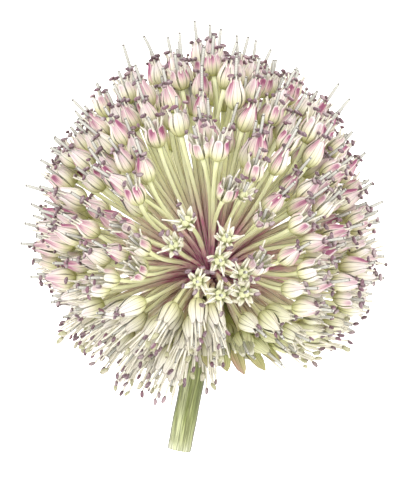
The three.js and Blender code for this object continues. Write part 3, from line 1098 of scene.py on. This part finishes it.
def stem_piece():
    """The stem with fine ribs and a little unevenness, hollowed a little at its cut end"""
    along = np.linspace(0, 1, STEM_STEPS)
    start = HUB + STEM_DIRECTION * STEM_START
    across = unit(np.cross(STEM_DIRECTION, SKY))
    up = np.cross(across, STEM_DIRECTION)
    angle = angles_round(STEM_SIDES)
    radius = STEM_RADIUS + (STEM_TOP_RADIUS - STEM_RADIUS) * (1 - along) ** 3
    ribs = 0.05 * np.cos(angle * STEM_RIBS) + 0.03 * np.cos(angle * 18 + 1.0)
    uneven = 0.05 * np.sin(along * 9)[:, None] * np.cos(angle + 1.0) + 0.03 * np.sin(along * 23 + 2)[:, None]
    radii = radius[:, None] - STEM_INSET + ribs + uneven
    radii[-1] -= CUT_ROUNDING
    middle = start + STEM_DIRECTION * (along * (STEM_LENGTH - STEM_START))[:, None]
    outward = np.cos(angle)[:, None] * across + np.sin(angle)[:, None] * up
    ring = middle[:, None] + radii[..., None] * outward
    inner = middle[-1] - STEM_DIRECTION * HOLLOW_DEPTHS[0] + (ring[-1] - middle[-1]) * HOLLOW_WIDTH
    deepest = middle[-1] - STEM_DIRECTION * HOLLOW_DEPTHS[1]
    rings = STEM_STEPS + 1
    chunk = Chunk(
        np.concatenate([ring.reshape(-1, 3), inner, [middle[0]], [deepest]]),
        [(f[:, ::-1], c[:, ::-1]) for f, c in closed_body(rings, STEM_SIDES)],
        1,
        around=np.concatenate([np.tile(np.abs(angle / pi - 1), rings), [0.5, 0.5]]),
        rib=np.concatenate([np.tile(0.5 + 0.5 * np.cos(angle * STEM_RIBS), rings), [1.0, 1.0]]),
        along=np.concatenate([np.repeat(along, STEM_SIDES), np.full(STEM_SIDES, 1.0), [0.0, 1.0]]),
    )
    make_piece("stem_ribbed", [chunk], stem_material(), node="stem")


def stem_material():
    """Green with long fibres, darker towards the head, where a shadow is painted, and paler towards the cut,
    with painted shade on the right, where the value around is 0, and along both sides as seen from above, and
    a painted highlight stripe left of the middle"""
    s = Shader("stem", roughness=0.55)
    along, around = s.values("along", "around")
    fibre = s.noise(s.vector(s.times(around, 22.0), s.times(along, 2.6), 0.0), scale=2.0, detail=4.0)
    broad = s.noise(s.vector(s.times(around, 3.0), s.times(along, 0.8), 4.0), scale=2.0, detail=1.0)
    patch_green, shade_green, pale_highlight = (160, 164, 112), (74, 80, 40), (204, 208, 164)
    fibre_dark, fibre_pale = (74, 78, 38), (196, 200, 144)
    groove_brown, side_shade_brown = (70, 68, 46), (58, 56, 40)
    # Painted shadow: darker towards the head, which shades the stem's top, and paler towards the cut
    s.colour = s.ramp(along, [(0.0, (62, 62, 30)), (0.3, (80, 88, 40)), (0.55, (98, 108, 52)),
                              (0.8, (134, 142, 84)), (0.93, (176, 180, 136)), (1.0, (214, 214, 190))])
    s.paint(s.step(broad, 0.45, 0.62, 0.0, 0.5), patch_green)
    # Painted shade on the right side, strongest near the head
    s.paint(s.times(s.step(around, 0.1, 0.42, 0.75, 0.0), s.step(along, 0.5, 1.0, 1.0, 0.2)), shade_green)
    # A painted highlight: a pale stripe left of the middle
    stripe = s.times(s.step(around, 0.5, 0.62), s.step(around, 0.66, 0.8, 1.0, 0.0))
    s.paint(s.times(stripe, s.step(along, 0.3, 0.6, 0.0, 0.7)), pale_highlight)
    s.paint(s.step(fibre, 0.44, 0.6, 0.0, 0.7), fibre_dark)
    s.paint(s.step(fibre, 0.4, 0.28, 0.0, 0.6), fibre_pale)
    s.paint(s.times(s.step(s.value("rib"), 0.0, 0.35, 0.5, 0.0), broad), groove_brown)
    # Painted shade along both sides, as seen from above
    from_middle = s.maths("ABSOLUTE", s.less(around, 0.5))
    s.paint(s.step(from_middle, 0.33, 0.44, 0.0, 0.8), side_shade_brown)
    return s.finish(fibre, distance=0.0002, strength=0.6)


# The photograph's frame: millimetres in a pixel, its size in pixels and the hub's place in it
PHOTO_SCALE = 0.24
PHOTO_WIDTH, PHOTO_HEIGHT = 417, 480
HUB_PIXEL = (211, 280)
LENS = 180
SKY_STRENGTH = 1.65

# The area lights: place in metres, size in metres and power in watts
LIGHTS = {
    "key": ((-0.3, 0.3, 0.6), 0.4, 1.6),
    "fill": ((0.4, -0.2, 0.6), 0.5, 1.4),
}


def place_camera():
    """The photograph's view, straight down on the lying flower head"""
    camera_data = bpy.data.cameras.new("camera")
    camera_data.lens = LENS
    camera_data.clip_end = 10
    x = HUB[0] + (PHOTO_WIDTH / 2 - HUB_PIXEL[0]) * PHOTO_SCALE
    y = HUB[1] + (HUB_PIXEL[1] - PHOTO_HEIGHT / 2) * PHOTO_SCALE
    away = PHOTO_HEIGHT * PHOTO_SCALE * LENS / camera_data.sensor_width
    camera = link("camera", camera_data)
    camera.location = (x * MM, y * MM, (HUB[2] + away) * MM)
    bpy.context.scene.camera = camera


def light_scene():
    """Soft white light from all round, and a little more from the upper left and the lower right"""
    world = bpy.data.worlds.new("world")
    world.use_nodes = True
    background = world.node_tree.nodes["Background"]
    background.inputs["Color"].default_value = (1, 1, 1, 1)
    background.inputs["Strength"].default_value = SKY_STRENGTH
    bpy.context.scene.world = world
    for name, (place, size, power) in LIGHTS.items():
        light_data = bpy.data.lights.new(name, "AREA")
        light_data.size = size
        light_data.energy = power
        light = link(name, light_data)
        light.location = place
        aim = np.array(place) - HUB * MM
        slope = atan2(hypot(aim[0], aim[1]), aim[2])
        light.rotation_euler = (slope, 0, atan2(aim[1], aim[0]) + pi / 2)
    bpy.context.scene.view_settings.view_transform = "Standard"


def floor_piece():
    """The plain white surface that the flower head lies on, 6 m square"""
    half = 3.0
    mesh = bpy.data.meshes.new("floor")
    corners = [(-half, -half, 0), (half, -half, 0), (half, half, 0), (-half, half, 0)]
    mesh.from_pydata(corners, [], [(0, 1, 2, 3)])
    s = Shader("floor", roughness=0.9, specular=0.1)
    s.principled.inputs["Emission Color"].default_value = (1, 1, 1, 1)
    s.principled.inputs["Emission Strength"].default_value = 0.9
    s.colour = (244, 244, 242)
    mesh.materials.append(s.finish())
    floor = link("floor", mesh)


place_camera()
light_scene()
floor_piece()
florets = arrange_florets()
florets += fill_gaps(florets)
colour_florets(florets)
open_florets = [f for f in florets if not f["shut"]]

petal_pieces(florets)
make_piece("stalks", [stalks(florets)], stalk_material(), cell_ratio=5.0)
stamen_pieces([f for f in open_florets if not f["bare"]])
style_pieces([f for f in open_florets if f["form"] != "bud"])
make_piece("bracts", [bract(*b) for b in BRACTS], bract_material(), cell_ratio=3.0)
receptacle_piece()
stem_piece()
